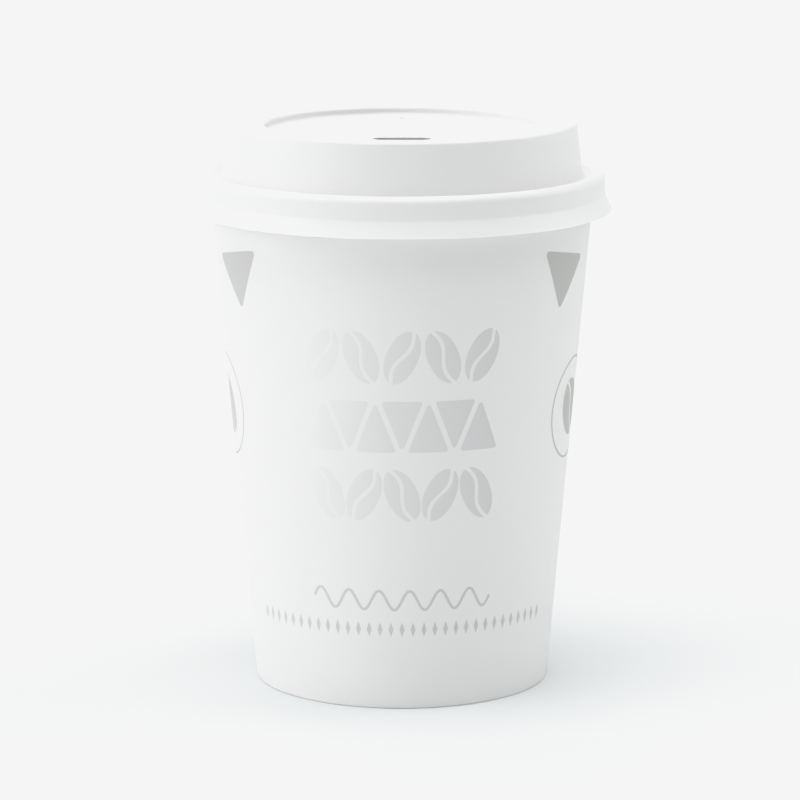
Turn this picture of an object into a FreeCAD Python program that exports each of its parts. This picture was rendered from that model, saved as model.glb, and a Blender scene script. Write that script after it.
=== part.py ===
"""A single-wall paper coffee cup with its snap-on sip-through lid.

The cup stands on the ring of its folded bottom edge. The origin is at the middle of that ring, Z
points up, and the sip slot faces -Y. The side seam of the paper runs up the back, at +Y.
Lengths are in millimetres and angles in degrees.
"""
import FreeCAD, Part
import math
import os
import Sketcher

SHEET = "Sizes"

# Driving dimensions
DRIVING_SIZES = {
    "cup_height": 116.35,
    "rim_diameter": 90.6,
    "base_diameter": 67.0,
    "paper_thickness": 0.4,
    "roll_diameter": 2.1,
    "roll_open_angle": 60.0,
    "fold_height": 6.5,
    "fold_corner": 0.45,
    "seam_width": 8.0,
    "seam_end_gap": 0.3,
    "disc_thickness": 0.35,
    "disc_corner": 0.6,
    "disc_clearance": 0.1,
    "glue_gap": 0.05,
    "lid_thickness": 0.4,
    "lid_clearance": 0.2,
    "skirt_overhang": 1.5,
    "skirt_drop": 8.75,
    "skirt_flare_height": 3.8,
    "skirt_bend": 3.0,
    "moat_depth": 1.6,
    "moat_round": 1.02,
    "lid_rise": 11.25,
    "lid_top_diameter": 78.8,
    "lid_top_round": 1.2,
    "land_drop": 0.8,
    "recess_diameter": 62.0,
    "recess_depth": 1.8,
    "recess_edge_round": 0.5,
    "recess_foot_round": 0.8,
    "recess_corner_round": 6.0,
    "platform_setback": 22.0,
    "slot_length": 13.0,
    "slot_width": 3.9,
    "slot_setback": 27.3,
    "vent_diameter": 1.5,
    "vent_setback": 24.0,
}

# Sizes that follow from the driving ones
DERIVED_SIZES = {
    "base_radius": "base_diameter / 2",
    "roll_radius": "roll_diameter / 2",
    "roll_inner_radius": "roll_radius - paper_thickness",
    "roll_middle_x": "rim_diameter / 2 - roll_radius",
    "roll_middle_z": "cup_height - roll_radius",
    "wall_lean": "atan2(roll_middle_x - base_radius; roll_middle_z) / 1 deg - asin("
                 "roll_inner_radius / hypot(roll_middle_x - base_radius; roll_middle_z)) / 1 deg",
    "wall_slope": "90 - wall_lean",
    "pocket_width": "disc_thickness + 2 * glue_gap",
    "seam_outer_x": "base_radius + paper_thickness / cos(wall_lean)",
    "seam_inner_x": "base_radius - paper_thickness / 2 / cos(wall_lean)",
    "seam_top_z": "cup_height - roll_diameter - seam_end_gap",
    "seam_angle": "seam_width / (base_radius + rim_diameter / 2) * 2 * 180 / pi",
    "disc_edge_x": "base_radius - (paper_thickness + glue_gap) / cos(wall_lean)",
    "disc_inner_corner": "disc_corner - disc_thickness",
    "disc_foot_z": "paper_thickness + disc_clearance",
    "disc_under_z": "fold_height + disc_inner_corner + disc_clearance",
    "ring_radius": "roll_radius + lid_clearance + lid_thickness",
    "ring_top_z": "roll_middle_z + ring_radius",
    "skirt_radius": "roll_middle_x + ring_radius + skirt_overhang",
    "skirt_bottom_z": "ring_top_z - skirt_drop",
    "skirt_bend_z": "skirt_bottom_z + skirt_flare_height",
    "moat_middle_z": "ring_top_z - moat_depth + moat_round",
    "lid_top_radius": "lid_top_diameter / 2",
    "lid_top_z": "ring_top_z + lid_rise",
    "recess_radius": "recess_diameter / 2",
    "land_inner_x": "recess_radius + 2 * recess_edge_round",
    "land_z": "lid_top_z - land_drop",
    "slot_end_x": "(slot_length - slot_width) / 2",
    "slot_end_radius": "slot_width / 2",
    "vent_radius": "vent_diameter / 2",
}

# How sketches number the points of a segment, and the sketch's own origin and axes
START, END, MIDDLE = range(1, 4)
ORIGIN = (-1, START)
LEVEL_AXIS = ORIGIN[0]
UPRIGHT_AXIS = LEVEL_AXIS - 1


def make_sheet(document):
    """Write the driving sizes and the sizes that follow from them, each under its own name."""
    sheet = document.addObject("Spreadsheet::Sheet", SHEET)
    rows = [(name, str(value)) for name, value in DRIVING_SIZES.items()]
    rows += [(name, "=" + formula) for name, formula in DERIVED_SIZES.items()]
    for row, (name, content) in enumerate(rows, start=1):
        sheet.set(f"A{row}", name)
        sheet.set(f"B{row}", content)
        sheet.setAlias(f"B{row}", name)
    document.recompute()
    return sheet


def origin_plane(body, role):
    """Return one of a body's own origin planes."""
    return next(plane for plane in body.Origin.OriginFeatures if plane.Role == role)


class Outline:
    """A closed outline in a sketch of its own, with its sizes tied to the sheet."""

    def __init__(self, sheet, body, name, plane="XZ_Plane", height=None):
        self.sheet = sheet
        self.sketch = body.newObject("Sketcher::SketchObject", name)
        self.sketch.AttachmentSupport = [(origin_plane(body, plane), "")]
        self.sketch.MapMode = "FlatFace"
        if height:
            self.sketch.setExpression("AttachmentOffset.Base.z", f"{SHEET}.{height}")

    def line(self, start, end):
        """Add a straight line from one point to another."""
        segment = Part.LineSegment(FreeCAD.Vector(*start), FreeCAD.Vector(*end))
        return self.sketch.addGeometry(segment, False)

    def arc(self, middle, radius, first, last):
        """Add an arc that runs anticlockwise from the first angle to the last."""
        circle = Part.Circle(FreeCAD.Vector(*middle), FreeCAD.Vector(0, 0, 1), radius)
        arc = Part.ArcOfCircle(circle, math.radians(first), math.radians(last))
        return self.sketch.addGeometry(arc, False)

    def mark(self, place):
        """Add a construction point."""
        return self.sketch.addGeometry(Part.Point(FreeCAD.Vector(*place)), True)

    def relate(self, kind, *places):
        """Add a constraint without a size, such as Tangent or Parallel."""
        self.sketch.addConstraint(Sketcher.Constraint(kind, *places))

    def join(self, *links):
        """Join each pair of ends, smoothly where the link says so."""
        for kind, first, first_end, second, second_end in links:
            self.relate(kind, first, first_end, second, second_end)

    def measure(self, kind, size, *places):
        """Add a constraint whose value is a named size of the sheet."""
        value = self.sheet.get(size)
        if kind == "Angle":
            value = math.radians(value)
        index = self.sketch.addConstraint(Sketcher.Constraint(kind, *places, value))
        name = f"{size}_{index}"
        self.sketch.renameConstraint(index, name)
        self.sketch.setExpression(f"Constraints.{name}", f"{SHEET}.{size}")


class WallLines:
    """Points beside the leaning wall, as first guesses for the sketches."""

    def __init__(self, sheet):
        self.base_radius = sheet.get("base_radius")
        self.lean = math.radians(sheet.get("wall_lean"))

    def point(self, height, inset):
        """Return the point at a height, this far inside the wall's outer surface."""
        reach = self.base_radius + height * math.tan(self.lean) - inset / math.cos(self.lean)
        return reach, height


def around(middle, radius, angle):
    """Return the point on a circle at an angle."""
    turn = math.radians(angle)
    return middle[0] + radius * math.cos(turn), middle[1] + radius * math.sin(turn)


def revolve(body, name, outline, angle_size=None):
    """Turn an outline about the upright axis, all round or by a named angle on both sides."""
    turned = body.newObject("PartDesign::Revolution", name)
    turned.Profile = outline.sketch
    turned.ReferenceAxis = (outline.sketch, ["V_Axis"])
    turned.Angle = 360
    if angle_size:
        turned.Midplane = True
        turned.setExpression("Angle", f"{SHEET}.{angle_size}")
    return turned


def wall_section(sheet, body):
    """Draw the sidewall's section: bottom fold, leaning wall and rolled rim."""
    wall = WallLines(sheet)
    paper = sheet.get("paper_thickness")
    corner = sheet.get("fold_corner")
    strip = paper + sheet.get("pocket_width")
    lean = sheet.get("wall_lean")
    roll_middle = (sheet.get("roll_middle_x"), sheet.get("roll_middle_z"))
    roll_start = 180 + sheet.get("roll_open_angle") - 360
    inside = sheet.get("roll_inner_radius")
    outside = sheet.get("roll_radius")

    foot_out = wall.point(corner, corner)
    foot_in = wall.point(corner, strip + paper - corner)
    strip_foot = wall.point(paper, strip)
    strip_top = wall.point(sheet.get("fold_height"), strip)
    strip_back = wall.point(sheet.get("fold_height"), strip + paper)

    outline = Outline(sheet, body, "wall_section")
    foot = outline.line((foot_in[0], 0), (foot_out[0], 0))
    outer_corner = outline.arc(foot_out, corner, -90, -lean)
    outer_face = outline.line(wall.point(corner, 0), around(roll_middle, inside, 180 - lean))
    roll_inside = outline.arc(roll_middle, inside, roll_start, 180 - lean)
    roll_end = outline.line(
        around(roll_middle, outside, roll_start), around(roll_middle, inside, roll_start)
    )
    roll_outside = outline.arc(roll_middle, outside, roll_start, 180 - lean)
    inner_face = outline.line(
        around(roll_middle, outside, 180 - lean), wall.point(paper, paper)
    )
    pocket_floor = outline.line(wall.point(paper, paper), strip_foot)
    strip_face = outline.line(strip_foot, strip_top)
    strip_edge = outline.line(strip_top, strip_back)
    strip_back_face = outline.line(strip_back, wall.point(corner, strip + paper))
    inner_corner = outline.arc(foot_in, corner, 180 - lean, 270)
    base_mark = outline.mark(wall.point(0, 0))

    outline.join(
        ("Tangent", foot, END, outer_corner, START),
        ("Tangent", outer_corner, END, outer_face, START),
        ("Tangent", outer_face, END, roll_inside, END),
        ("Coincident", roll_inside, START, roll_end, END),
        ("Coincident", roll_end, START, roll_outside, START),
        ("Tangent", roll_outside, END, inner_face, START),
        ("Coincident", inner_face, END, pocket_floor, START),
        ("Coincident", pocket_floor, END, strip_face, START),
        ("Coincident", strip_face, END, strip_edge, START),
        ("Coincident", strip_edge, END, strip_back_face, START),
        ("Tangent", strip_back_face, END, inner_corner, START),
        ("Tangent", inner_corner, END, foot, START),
    )
    outline.relate("PointOnObject", foot, START, LEVEL_AXIS)
    outline.relate("Horizontal", foot)
    outline.relate("Horizontal", pocket_floor)
    outline.relate("Parallel", inner_face, outer_face)
    outline.relate("Parallel", strip_face, outer_face)
    outline.relate("Parallel", strip_back_face, outer_face)
    outline.relate("Perpendicular", strip_edge, strip_face)
    outline.relate("Coincident", roll_inside, MIDDLE, roll_outside, MIDDLE)
    outline.relate("PointOnObject", roll_inside, MIDDLE, roll_end)
    outline.relate("PointOnObject", base_mark, START, LEVEL_AXIS)
    outline.relate("PointOnObject", base_mark, START, outer_face)
    outline.relate("Equal", inner_corner, outer_corner)
    outline.measure("Radius", "fold_corner", outer_corner)
    outline.measure("Radius", "roll_inner_radius", roll_inside)
    outline.measure("Radius", "roll_radius", roll_outside)
    outline.measure("DistanceX", "roll_middle_x", *ORIGIN, roll_inside, MIDDLE)
    outline.measure("DistanceY", "roll_middle_z", *ORIGIN, roll_inside, MIDDLE)
    outline.measure("DistanceX", "base_radius", *ORIGIN, base_mark, START)
    outline.measure("Angle", "roll_open_angle", roll_end)
    outline.measure("DistanceY", "paper_thickness", *ORIGIN, pocket_floor, START)
    outline.measure("Distance", "pocket_width", strip_face, START, inner_face)
    outline.measure("DistanceY", "fold_height", *ORIGIN, strip_face, END)
    outline.measure("Distance", "paper_thickness", strip_edge)
    return outline


def seam_section(sheet, body):
    """Draw the section of the side seam's outer layer, half sunk into the wall it is glued to."""
    foot_z = sheet.get("fold_corner")
    top_z = sheet.get("seam_top_z")
    grip = sheet.get("paper_thickness") / 2
    wall = WallLines(sheet)
    corners = [
        wall.point(foot_z, grip),
        wall.point(foot_z, -2 * grip),
        wall.point(top_z, -2 * grip),
        wall.point(top_z, grip),
    ]

    outline = Outline(sheet, body, "seam_section", "YZ_Plane")
    foot = outline.line(corners[0], corners[1])
    outer_face = outline.line(corners[1], corners[2])
    top = outline.line(corners[2], corners[3])
    inner_face = outline.line(corners[3], corners[0])
    outer_mark = outline.mark(wall.point(0, -2 * grip))
    inner_mark = outline.mark(wall.point(0, grip))

    outline.join(
        ("Coincident", foot, END, outer_face, START),
        ("Coincident", outer_face, END, top, START),
        ("Coincident", top, END, inner_face, START),
        ("Coincident", inner_face, END, foot, START),
    )
    outline.relate("Horizontal", foot)
    outline.relate("Horizontal", top)
    outline.relate("Parallel", inner_face, outer_face)
    outline.relate("PointOnObject", outer_mark, START, LEVEL_AXIS)
    outline.relate("PointOnObject", outer_mark, START, outer_face)
    outline.relate("PointOnObject", inner_mark, START, LEVEL_AXIS)
    outline.relate("PointOnObject", inner_mark, START, inner_face)
    outline.measure("DistanceX", "seam_outer_x", *ORIGIN, outer_mark, START)
    outline.measure("DistanceX", "seam_inner_x", *ORIGIN, inner_mark, START)
    outline.measure("Angle", "wall_slope", outer_face)
    outline.measure("DistanceY", "fold_corner", *ORIGIN, foot, START)
    outline.measure("DistanceY", "seam_top_z", *ORIGIN, top, START)
    return outline


def make_sidewall(document, sheet):
    """Build the sidewall: one paper blank, rolled at the rim, folded at the foot and lapped."""
    body = document.addObject("PartDesign::Body", "sidewall")
    revolve(body, "wall_turn", wall_section(sheet, body))
    revolve(body, "seam_turn", seam_section(sheet, body), "seam_angle")
    return body


def disc_section(sheet, body):
    """Draw the section of the bottom disc, with its edge turned down into the fold."""
    wall = WallLines(sheet)
    lean = sheet.get("wall_lean")
    edge = sheet.get("paper_thickness") + sheet.get("glue_gap")
    thickness = sheet.get("disc_thickness")
    corner = sheet.get("disc_corner")
    foot_z = sheet.get("disc_foot_z")
    under_z = sheet.get("disc_under_z")
    turn = wall.point(under_z + thickness - corner, edge + corner)

    outline = Outline(sheet, body, "disc_section")
    top = outline.line((0, under_z + thickness), around(turn, corner, 90))
    outer_corner = outline.arc(turn, corner, -lean, 90)
    outer_face = outline.line(around(turn, corner, -lean), wall.point(foot_z, edge))
    foot = outline.line(wall.point(foot_z, edge), wall.point(foot_z, edge + thickness))
    inner_face = outline.line(
        wall.point(foot_z, edge + thickness), around(turn, corner - thickness, -lean)
    )
    inner_corner = outline.arc(turn, corner - thickness, -lean, 90)
    under = outline.line(around(turn, corner - thickness, 90), (0, under_z))
    axis = outline.line((0, under_z), (0, under_z + thickness))
    edge_mark = outline.mark(wall.point(0, edge))

    outline.join(
        ("Tangent", top, END, outer_corner, END),
        ("Tangent", outer_corner, START, outer_face, START),
        ("Coincident", outer_face, END, foot, START),
        ("Coincident", foot, END, inner_face, START),
        ("Tangent", inner_face, END, inner_corner, START),
        ("Tangent", inner_corner, END, under, START),
        ("Coincident", under, END, axis, START),
        ("Coincident", axis, END, top, START),
    )
    outline.relate("Horizontal", top)
    outline.relate("Horizontal", under)
    outline.relate("Horizontal", foot)
    outline.relate("Vertical", axis)
    outline.relate("PointOnObject", axis, START, UPRIGHT_AXIS)
    outline.relate("Coincident", outer_corner, MIDDLE, inner_corner, MIDDLE)
    outline.relate("PointOnObject", edge_mark, START, LEVEL_AXIS)
    outline.relate("PointOnObject", edge_mark, START, outer_face)
    outline.measure("DistanceX", "disc_edge_x", *ORIGIN, edge_mark, START)
    outline.measure("Angle", "wall_slope", inner_face)
    outline.relate("Parallel", outer_face, inner_face)
    outline.measure("Radius", "disc_corner", outer_corner)
    outline.measure("Radius", "disc_inner_corner", inner_corner)
    outline.measure("DistanceY", "disc_foot_z", *ORIGIN, foot, START)
    outline.measure("DistanceY", "disc_under_z", *ORIGIN, axis, START)
    return outline


def make_bottom_disc(document, sheet):
    """Build the recessed bottom disc, whose edge is held in the sidewall's fold."""
    body = document.addObject("PartDesign::Body", "bottom_disc")
    revolve(body, "disc_turn", disc_section(sheet, body))
    return body


def lid_section(sheet, body):
    """Draw the lid's outer form as a filled section, before it is hollowed to a shell."""
    ring_middle = (sheet.get("roll_middle_x"), sheet.get("roll_middle_z"))
    ring = sheet.get("ring_radius")
    skirt_edge = (sheet.get("skirt_radius"), sheet.get("skirt_bottom_z"))
    bend = sheet.get("skirt_bend")
    channel_x = ring_middle[0] + ring
    bend_middle = (channel_x + bend, sheet.get("skirt_bend_z"))
    run = bend_middle[0] - skirt_edge[0]
    rise = bend_middle[1] - skirt_edge[1]
    tangent = math.atan2(rise, run) + math.asin(bend / math.hypot(run, rise))
    flare = math.degrees(tangent) - 90
    moat = sheet.get("moat_round")
    moat_turn = math.degrees(math.asin((sheet.get("moat_middle_z") - ring_middle[1]) / (ring + moat)))
    moat_middle = around(ring_middle, ring + moat, 180 - moat_turn)
    top_corner = (sheet.get("lid_top_radius"), sheet.get("lid_top_z"))
    draft = math.degrees(
        math.atan2(moat_middle[0] - moat - top_corner[0], top_corner[1] - moat_middle[1])
    )
    top_round = sheet.get("lid_top_round")
    land_inner = (sheet.get("land_inner_x"), sheet.get("land_z"))
    fall = math.degrees(
        math.atan2(top_corner[1] - land_inner[1], top_corner[0] - land_inner[0])
    )
    top_middle = (top_corner[0] - top_round, top_corner[1] - top_round)

    outline = Outline(sheet, body, "lid_section")
    floor = outline.line((0, skirt_edge[1]), skirt_edge)
    skirt = outline.line(skirt_edge, around(bend_middle, bend, 180 + flare))
    skirt_bend = outline.arc(bend_middle, bend, 180, 180 + flare)
    channel = outline.line(around(bend_middle, bend, 180), around(ring_middle, ring, 0))
    ring_round = outline.arc(ring_middle, ring, 0, 180 - moat_turn)
    moat_bed = outline.arc(moat_middle, moat, 180 + draft, 360 - moat_turn)
    raised = outline.line(
        around(moat_middle, moat, 180 + draft), around(top_middle, top_round, draft)
    )
    shoulder = outline.arc(top_middle, top_round, draft, 90 + fall)
    land = outline.line(around(top_middle, top_round, 90 + fall), land_inner)
    plateau = outline.line(land_inner, (0, land_inner[1]))
    axis = outline.line((0, land_inner[1]), (0, skirt_edge[1]))
    corner_mark = outline.mark(top_corner)

    outline.join(
        ("Coincident", floor, END, skirt, START),
        ("Tangent", skirt, END, skirt_bend, END),
        ("Tangent", skirt_bend, START, channel, START),
        ("Tangent", channel, END, ring_round, START),
        ("Tangent", ring_round, END, moat_bed, END),
        ("Tangent", moat_bed, START, raised, START),
        ("Tangent", raised, END, shoulder, START),
        ("Tangent", shoulder, END, land, START),
        ("Coincident", land, END, plateau, START),
        ("Coincident", plateau, END, axis, START),
        ("Coincident", axis, END, floor, START),
    )
    outline.relate("Horizontal", floor)
    outline.relate("Horizontal", plateau)
    outline.relate("Vertical", axis)
    outline.relate("Vertical", channel)
    outline.relate("PointOnObject", axis, START, UPRIGHT_AXIS)
    outline.relate("PointOnObject", corner_mark, START, raised)
    outline.relate("PointOnObject", corner_mark, START, land)
    outline.measure("DistanceX", "skirt_radius", *ORIGIN, skirt, START)
    outline.measure("DistanceY", "skirt_bottom_z", *ORIGIN, skirt, START)
    outline.measure("Radius", "skirt_bend", skirt_bend)
    outline.measure("DistanceY", "skirt_bend_z", *ORIGIN, skirt_bend, START)
    outline.measure("DistanceX", "roll_middle_x", *ORIGIN, ring_round, MIDDLE)
    outline.measure("DistanceY", "roll_middle_z", *ORIGIN, ring_round, MIDDLE)
    outline.measure("Radius", "ring_radius", ring_round)
    outline.measure("Radius", "moat_round", moat_bed)
    outline.measure("DistanceY", "moat_middle_z", *ORIGIN, moat_bed, MIDDLE)
    outline.measure("DistanceX", "lid_top_radius", *ORIGIN, corner_mark, START)
    outline.measure("DistanceY", "lid_top_z", *ORIGIN, corner_mark, START)
    outline.measure("Radius", "lid_top_round", shoulder)
    outline.measure("DistanceX", "land_inner_x", *ORIGIN, land, END)
    outline.measure("DistanceY", "land_z", *ORIGIN, land, END)
    return outline


def recess_outline(sheet, body):
    """Draw the recess in plan: a disc cut off straight in front, where the sip platform is."""
    radius = sheet.get("recess_radius")
    chord_y = -sheet.get("platform_setback")
    corner = sheet.get("recess_corner_round")
    corner_y = chord_y + corner
    corner_x = math.sqrt((radius - corner) ** 2 - corner_y ** 2)
    turn = math.degrees(math.atan2(corner_y, corner_x))

    outline = Outline(sheet, body, "recess_outline", "XY_Plane", "land_z")
    rim = outline.arc((0, 0), radius, turn, 180 - turn)
    left_corner = outline.arc((-corner_x, corner_y), corner, 180 - turn, 270)
    chord = outline.line((-corner_x, chord_y), (corner_x, chord_y))
    right_corner = outline.arc((corner_x, corner_y), corner, -90, turn)

    outline.join(
        ("Tangent", rim, END, left_corner, START),
        ("Tangent", left_corner, END, chord, START),
        ("Tangent", chord, END, right_corner, START),
        ("Tangent", right_corner, END, rim, START),
    )
    outline.relate("Coincident", rim, MIDDLE, *ORIGIN)
    outline.relate("Horizontal", chord)
    outline.relate("Equal", left_corner, right_corner)
    outline.measure("Radius", "recess_radius", rim)
    outline.measure("Radius", "recess_corner_round", left_corner)
    outline.measure("DistanceY", "platform_setback", chord, START, *ORIGIN)
    return outline


def slot_outline(sheet, body):
    """Draw the sip slot in plan, with round ends."""
    half = sheet.get("slot_end_x")
    radius = sheet.get("slot_end_radius")
    middle_y = -sheet.get("slot_setback")

    outline = Outline(sheet, body, "slot_outline", "XY_Plane", "lid_top_z")
    back = outline.line((half, middle_y + radius), (-half, middle_y + radius))
    left_end = outline.arc((-half, middle_y), radius, 90, 270)
    front = outline.line((-half, middle_y - radius), (half, middle_y - radius))
    right_end = outline.arc((half, middle_y), radius, -90, 90)

    outline.join(
        ("Tangent", back, END, left_end, START),
        ("Tangent", left_end, END, front, START),
        ("Tangent", front, END, right_end, START),
        ("Tangent", right_end, END, back, START),
    )
    outline.relate("Horizontal", front)
    outline.relate("Horizontal", back)
    outline.measure("Radius", "slot_end_radius", right_end)
    outline.measure("DistanceX", "slot_end_x", *ORIGIN, right_end, MIDDLE)
    outline.measure("DistanceX", "slot_end_x", left_end, MIDDLE, *ORIGIN)
    outline.measure("DistanceY", "slot_setback", right_end, MIDDLE, *ORIGIN)
    return outline


def vent_outline(sheet, body):
    """Draw the small round vent hole near the back of the recess."""
    middle = (0, sheet.get("vent_setback"))
    outline = Outline(sheet, body, "vent_outline", "XY_Plane", "lid_top_z")
    circle = Part.Circle(FreeCAD.Vector(*middle), FreeCAD.Vector(0, 0, 1), sheet.get("vent_radius"))
    hole = outline.sketch.addGeometry(circle, False)
    outline.relate("PointOnObject", hole, MIDDLE, UPRIGHT_AXIS)
    outline.measure("Radius", "vent_radius", hole)
    outline.measure("DistanceY", "vent_setback", *ORIGIN, hole, MIDDLE)
    return outline


def cut_down(body, name, outline, depth=None):
    """Cut an outline downwards, to a named depth or right through."""
    pocket = body.newObject("PartDesign::Pocket", name)
    pocket.Profile = outline.sketch
    if depth:
        pocket.setExpression("Length", f"{SHEET}.{depth}")
    else:
        pocket.Type = "ThroughAll"
    return pocket


def edges_at(shape, height, reach):
    """Name the edges that lie level at a height, no further out than a reach."""
    found = []
    for index, edge in enumerate(shape.Edges, start=1):
        box = edge.BoundBox
        level = abs(box.ZMin - height) < 1e-4 and abs(box.ZMax - height) < 1e-4
        if level and box.XMax <= reach:
            found.append(f"Edge{index}")
    return found


def round_edges(document, body, base, name, radius, height):
    """Round the level edges of the recess at one height."""
    reach = document.getObject(SHEET).get("recess_radius") + 1e-3
    names = edges_at(base.Shape, height, reach)
    fillet = body.newObject("PartDesign::Fillet", name)
    fillet.Base = (base, names)
    fillet.setExpression("Radius", f"{SHEET}.{radius}")
    document.recompute()
    return fillet


def make_sip_lid(document, sheet):
    """Build the lid: a formed plastic sheet with skirt, ring, moat, raised wall and recess."""
    body = document.addObject("PartDesign::Body", "sip_lid")
    revolve(body, "lid_turn", lid_section(sheet, body))
    recess = cut_down(body, "recess", recess_outline(sheet, body), "recess_depth")
    document.recompute()
    land_z = sheet.get("land_z")
    floor_z = land_z - sheet.get("recess_depth")
    foot = round_edges(document, body, recess, "recess_foot", "recess_foot_round", floor_z)
    edge = round_edges(document, body, foot, "recess_edge", "recess_edge_round", land_z)

    under = min(range(len(edge.Shape.Faces)), key=lambda i: edge.Shape.Faces[i].CenterOfMass.z)
    shell = body.newObject("PartDesign::Thickness", "lid_shell")
    shell.Base = (edge, [f"Face{under + 1}"])
    shell.setExpression("Value", f"{SHEET}.lid_thickness")
    shell.Reversed = True
    document.recompute()

    cut_down(body, "sip_slot", slot_outline(sheet, body))
    cut_down(body, "vent_hole", vent_outline(sheet, body))
    return body


def check(document, bodies):
    """Stop if any object failed, or if a piece is not one sound solid."""
    for item in document.Objects:
        if "Invalid" in item.State or "Error" in item.State:
            raise RuntimeError(f"{item.Name} failed: {item.State}")
    for body in bodies:
        if body.Shape.isNull() or not body.Shape.isValid() or len(body.Shape.Solids) != 1:
            raise RuntimeError(f"{body.Name} is not one valid solid")


def main():
    """Build the pieces, check them and write each to a file of its own."""
    document = FreeCAD.newDocument("coffee_cup")
    sheet = make_sheet(document)
    bodies = [
        make_sidewall(document, sheet),
        make_bottom_disc(document, sheet),
        make_sip_lid(document, sheet),
    ]
    document.recompute()
    check(document, bodies)
    os.makedirs("parts", exist_ok=True)
    for body in bodies:
        body.Shape.exportStep(f"parts/{body.Label}.step")
        box = body.Shape.optimalBoundingBox()
        print(f"{body.Label}: {body.Shape.Volume:.1f} mm3, {box.XLength:.2f} x {box.YLength:.2f}"
              f" x {box.ZLength:.2f} mm, base at {box.ZMin:.2f}")


main()
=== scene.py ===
"""A paper coffee cup with its sip-through lid, dressed and lit for a plain white studio.

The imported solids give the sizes. Each sub-assembly is a class that builds its meshes, dresses them
and hands them to the frame. Lengths are in millimetres until a mesh is made.
"""

import logging
import math
from dataclasses import dataclass, field
from enum import Enum
from typing import Callable, Iterable, Sequence

import bmesh
import bpy
import numpy as np
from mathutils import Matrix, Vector
from mathutils.geometry import delaunay_2d_cdt


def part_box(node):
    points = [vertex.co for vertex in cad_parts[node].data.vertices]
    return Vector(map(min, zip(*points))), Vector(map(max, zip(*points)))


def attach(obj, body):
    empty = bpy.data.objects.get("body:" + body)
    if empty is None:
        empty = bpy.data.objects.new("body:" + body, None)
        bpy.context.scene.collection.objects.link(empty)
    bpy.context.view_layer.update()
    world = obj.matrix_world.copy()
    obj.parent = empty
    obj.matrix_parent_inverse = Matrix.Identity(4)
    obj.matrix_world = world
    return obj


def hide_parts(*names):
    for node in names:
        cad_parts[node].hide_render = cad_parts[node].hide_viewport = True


Piece = bpy.types.Object
Socket = bpy.types.NodeSocket
Point = tuple[float, float]
Colour = tuple[float, float, float]
Faces = list[tuple[int, ...]]
Surface = tuple[np.ndarray, Faces]
Swell = Callable[[np.ndarray, np.ndarray, np.ndarray], np.ndarray]

MM = 0.001
# Points closer than this are one, in millimetres.
WELD = 0.002
# Faces that meet at more than this many degrees keep a sharp edge.
CREASE = 35.0
# Longest piece of a straight run in a section, and of a printed outline, in millimetres.
RUN_STEP = 4.0
EDGE_STEP = 1.2
# Width of the gap between a printed bean's halves and how far it swings, in millimetres.
BEAN_GAP = 0.9
BEAN_SWING = 0.9
# Places of a Mix node's number and colour sockets, and of the curve for all channels.
MIX_NUMBERS = (2, 3)
MIX_COLOURS = (6, 7)
MIX_COLOUR_RESULT = 2
COMBINED_CURVE = 3
LOG = logging.getLogger("coffee_cup")

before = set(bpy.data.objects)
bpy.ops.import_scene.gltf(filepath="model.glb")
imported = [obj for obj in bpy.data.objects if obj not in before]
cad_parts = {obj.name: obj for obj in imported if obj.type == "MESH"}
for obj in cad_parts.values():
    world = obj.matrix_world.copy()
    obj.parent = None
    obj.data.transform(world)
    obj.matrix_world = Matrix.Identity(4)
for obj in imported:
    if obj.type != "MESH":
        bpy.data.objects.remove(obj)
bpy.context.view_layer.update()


class Body(Enum):
    """The rigid bodies that pieces ride on."""

    CUP = "cup"
    LID = "lid"


class Slot(Enum):
    """The record's material slots."""

    PAPER = "paper_board"
    BOTTOM = "bottom_board"
    LID = "lid_plastic"


@dataclass
class Profile:
    """A chain of points in a half section: distance from the axis and height."""

    points: list[Point] = field(default_factory=list)

    def run(self, reach: float, height: float) -> None:
        """Add a straight run to a point, divided into short pieces.

        Args:
            reach: Distance of the run's end from the axis.
            height: Height of the run's end.
        """
        if self.points:
            start = self.points[-1]
            count = max(1, math.ceil(math.dist(start, (reach, height)) / RUN_STEP))
            for index in range(1, count):
                share = index / count
                self.points.append(
                    (start[0] + (reach - start[0]) * share, start[1] + (height - start[1]) * share)
                )
        self.points.append((reach, height))

    def arc(self, middle: Point, radius: float, first: float, last: float, count: int) -> None:
        """Add an arc.

        Args:
            middle: Centre of the arc.
            radius: Its radius.
            first: Angle of its first point in degrees.
            last: Angle of its last point in degrees.
            count: Number of pieces that it is divided into.
        """
        for angle in np.radians(np.linspace(first, last, count + 1)):
            point = (middle[0] + radius * math.cos(angle), middle[1] + radius * math.sin(angle))
            if not self.points or math.dist(self.points[-1], point) > 1e-6:
                self.points.append(point)


def new_mesh(name: str, points: np.ndarray, faces: Iterable[Sequence[int]]) -> Piece:
    """Make a mesh object from points in millimetres.

    Args:
        name: Name of the piece.
        points: Points of the mesh, one row each.
        faces: Point numbers of each face.

    Returns:
        The new object, linked to the scene.
    """
    mesh = bpy.data.meshes.new(name)
    mesh.from_pydata((np.asarray(points) * MM).tolist(), [], list(faces))
    mesh.update()
    piece = bpy.data.objects.new(name, mesh)
    bpy.context.scene.collection.objects.link(piece)
    return piece


def quad_grid(rows: int, columns: int, join_rows: bool, join_columns: bool) -> Faces:
    """Join a grid of points, numbered row by row, into faces with four corners.

    Args:
        rows: Number of rows.
        columns: Number of points in each row.
        join_rows: Whether the last row joins the first.
        join_columns: Whether the last point of a row joins its first.

    Returns:
        The faces.
    """
    faces = []
    for row in range(rows if join_rows else rows - 1):
        here, there = row * columns, (row + 1) % rows * columns
        for column in range(columns if join_columns else columns - 1):
            beside = (column + 1) % columns
            faces.append((here + column, there + column, there + beside, here + beside))
    return faces


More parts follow.
